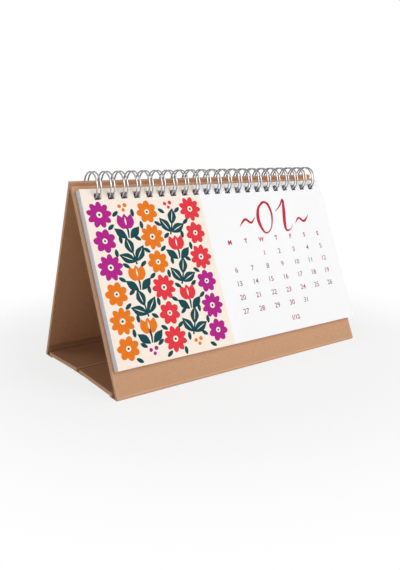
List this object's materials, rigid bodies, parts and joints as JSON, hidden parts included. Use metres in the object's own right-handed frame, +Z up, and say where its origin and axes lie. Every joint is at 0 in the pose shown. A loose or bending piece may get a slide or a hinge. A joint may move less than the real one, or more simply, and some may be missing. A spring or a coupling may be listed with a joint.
{
  "type": "desk calendar",
  "caption": "Standing desk calendar with flip leaves on a twin-loop wire and a folding kraft board easel.",
  "frame": {"origin": "on the table under the middle of the stand", "axes": "+Z up, +X along the binding, the leaves face -Y"},
  "size_m": [0.1912, 0.0976, 0.1202],
  "materials": {
    "kraft": "matt kraft paper with fine fibres",
    "kraft_liner": "matt kraft paper lining",
    "greyboard": "rough grey board",
    "leaf_card": "smooth uncoated white card, printed on the front",
    "wire": "bright silver-coated wire"
  },
  "bodies": {
    "front_leg": {"front_board_wrap": "kraft", "front_board_core": "greyboard", "front_board_liner": "kraft_liner", "leaf_02": "leaf_card", "leaf_03": "leaf_card", "leaf_04": "leaf_card", "leaf_05": "leaf_card", "leaf_06": "leaf_card", "leaf_07": "leaf_card", "leaf_08": "leaf_card", "leaf_09": "leaf_card", "leaf_10": "leaf_card", "leaf_11": "leaf_card", "leaf_12": "leaf_card", "twin_loop_wire": "wire", "front_crease": "kraft"},
    "first_leaf": {"leaf_01": "leaf_card"},
    "back_leg": {"back_board_wrap": "kraft", "back_board_core": "greyboard", "back_board_liner": "kraft_liner", "back_crease": "kraft"},
    "base_front_half": {"base_front_wrap": "kraft", "base_front_core": "greyboard", "base_front_liner": "kraft_liner", "mid_crease": "kraft"},
    "base_back_half": {"base_back_wrap": "kraft", "base_back_core": "greyboard", "base_back_liner": "kraft_liner"}
  },
  "joints": [
    {"name": "leaf_turn", "type": "hinge", "parent": "front_leg", "child": "first_leaf", "pos_m": [0, -0.00582, 0.11261], "axis": [-1, 0, 0], "range_deg": [0, 206]},
    {"name": "stand_fold", "type": "hinge", "parent": "front_leg", "child": "back_leg", "pos_m": [0, -0.00494, 0.1116], "axis": [-1, 0, 0], "range_deg": [0, 9]},
    {"name": "front_crease_fold", "type": "hinge", "parent": "front_leg", "child": "base_front_half", "pos_m": [0, -0.04744, 0.00155], "axis": [1, 0, 0], "range_deg": [0, 34.75], "deforming": ["mid_crease"]},
    {"name": "back_crease_fold", "type": "hinge", "parent": "back_leg", "child": "base_back_half", "pos_m": [0, 0.04744, 0.00155], "axis": [-1, 0, 0], "range_deg": [0, 34.75]}
  ],
  "couplings": [
    {"joint": "front_crease_fold", "follows": "stand_fold", "ratio": 3.85},
    {"joint": "back_crease_fold", "follows": "stand_fold", "ratio": 3.85}
  ]
}
